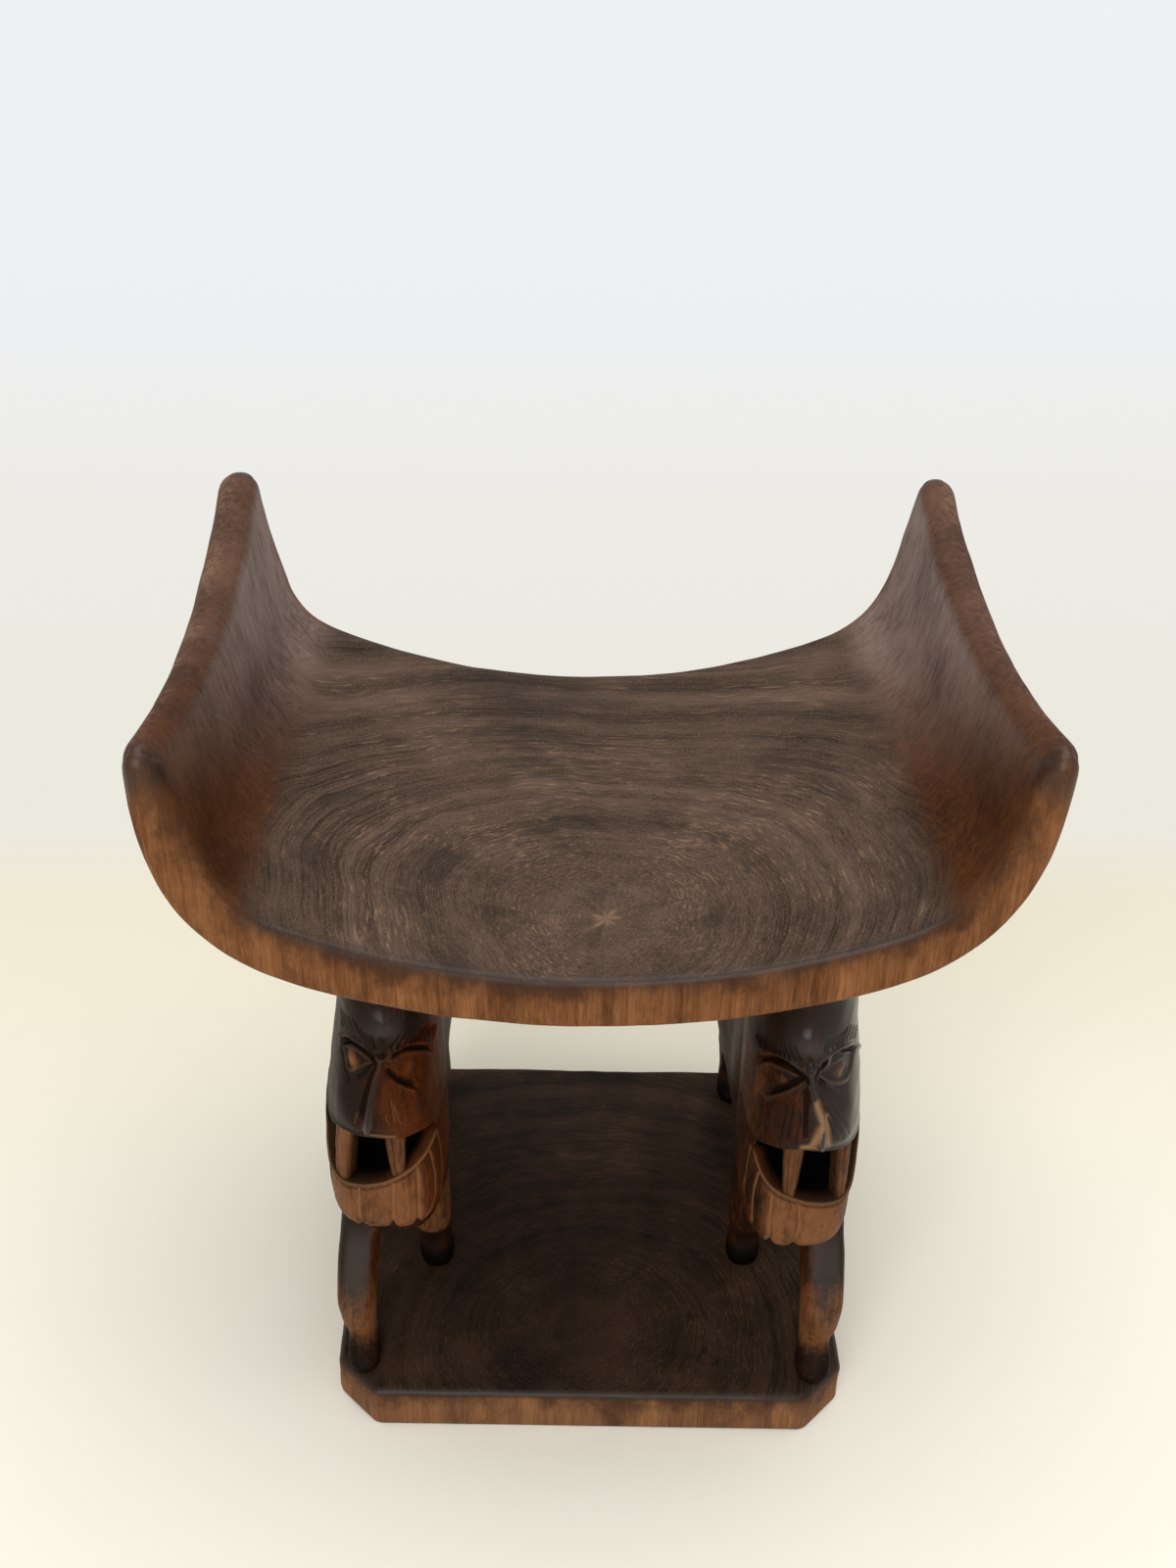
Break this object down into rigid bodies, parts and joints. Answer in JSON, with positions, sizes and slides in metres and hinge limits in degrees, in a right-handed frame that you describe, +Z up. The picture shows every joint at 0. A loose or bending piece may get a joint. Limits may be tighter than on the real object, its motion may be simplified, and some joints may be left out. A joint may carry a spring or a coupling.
{
  "type": "carved wooden stool",
  "caption": "Carved dark wood stool: dished seat with upturned horned corners, carried by standing lions on a rectangular base.",
  "frame": {"origin": "on the floor, under the middle of the base", "axes": "+Z up, +X across the seat, lions facing -Y, +Y towards the back"},
  "size_m": [0.5113, 0.3355, 0.597],
  "materials": {
    "seat_wood": "dark stain, worn wax",
    "base_wood": "dark stain, worn wax",
    "lion_wood": "dark stain, polished",
    "fang_wood": "stain rubbed thin"
  },
  "bodies": {
    "root": {"base": "base_wood", "left_lion_body": "lion_wood", "left_lion_head": "lion_wood", "left_lion_inner_fang": "fang_wood", "left_lion_inner_fore_leg": "lion_wood", "left_lion_inner_hind_leg": "lion_wood", "left_lion_jaw": "lion_wood", "left_lion_outer_fang": "fang_wood", "left_lion_outer_fore_leg": "lion_wood", "left_lion_outer_hind_leg": "lion_wood", "right_lion_body": "lion_wood", "right_lion_head": "lion_wood", "right_lion_inner_fang": "fang_wood", "right_lion_inner_fore_leg": "lion_wood", "right_lion_inner_hind_leg": "lion_wood", "right_lion_jaw": "lion_wood", "right_lion_outer_fang": "fang_wood", "right_lion_outer_fore_leg": "lion_wood", "right_lion_outer_hind_leg": "lion_wood", "seat": "seat_wood"}
  },
  "joints": []
}
